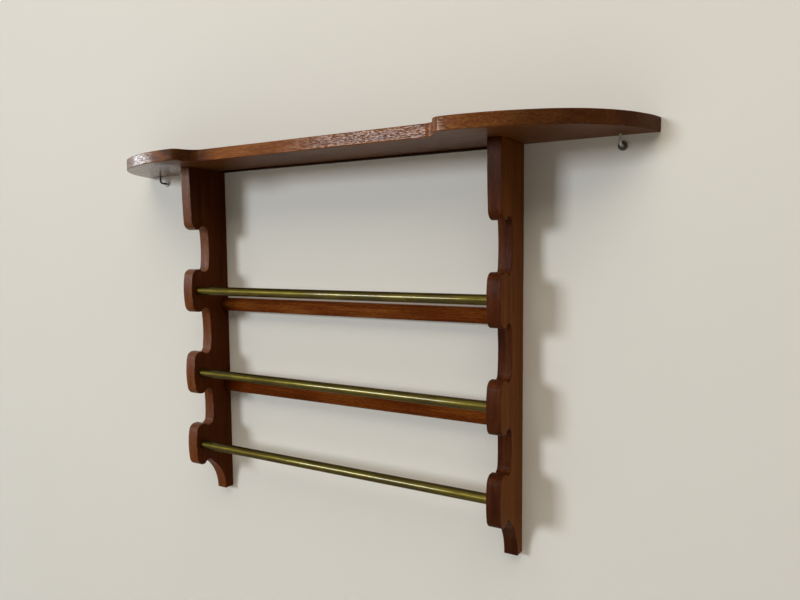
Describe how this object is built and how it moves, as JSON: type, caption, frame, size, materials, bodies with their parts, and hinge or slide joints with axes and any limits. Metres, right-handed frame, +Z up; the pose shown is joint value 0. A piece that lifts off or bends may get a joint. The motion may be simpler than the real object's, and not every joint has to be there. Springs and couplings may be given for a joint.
{
  "type": "wall towel rack",
  "caption": "Wall towel rack: a serpentine shelf on scroll-sawn uprights that carry brass towel rods and plain back rails, hung from bent screw hooks.",
  "frame": {"origin": "middle of the shelf's back edge, on the wall, halfway up the shelf's thickness", "axes": "+X along the shelf to the right of someone who faces the rack, +Y into the wall, +Z up"},
  "size_m": [0.814, 0.162, 0.5175],
  "materials": {
    "shelf_wood": "satin varnish",
    "frame_wood": "satin varnish",
    "dark_lath": "dark stain",
    "dowel_wood": "plain",
    "rod_brass": "patinated",
    "hook_steel": "plain wire",
    "plug_plastic": "matte"
  },
  "bodies": {
    "rack": {"shelf_board": "shelf_wood", "left_upright": "frame_wood", "right_upright": "frame_wood", "upper_back_rail": "frame_wood", "lower_back_rail": "frame_wood", "wall_strip": "dark_lath", "left_wall_hook": "hook_steel", "right_wall_hook": "hook_steel", "wall_plugs": "plug_plastic", "shelf_dowels": "dowel_wood", "rail_dowels": "dowel_wood"},
    "upper_rod": {"upper_rod": "rod_brass"},
    "middle_rod": {"middle_rod": "rod_brass"},
    "lower_rod": {"lower_rod": "rod_brass"}
  },
  "joints": [
    {"name": "upper_rod_turn", "type": "hinge", "parent": "rack", "child": "upper_rod", "pos_m": [0, -0.061, -0.191], "axis": [1, 0, 0], "continuous": true},
    {"name": "middle_rod_turn", "type": "hinge", "parent": "rack", "child": "middle_rod", "pos_m": [0, -0.061, -0.3155], "axis": [1, 0, 0], "continuous": true},
    {"name": "lower_rod_turn", "type": "hinge", "parent": "rack", "child": "lower_rod", "pos_m": [0, -0.061, -0.426], "axis": [1, 0, 0], "continuous": true}
  ]
}
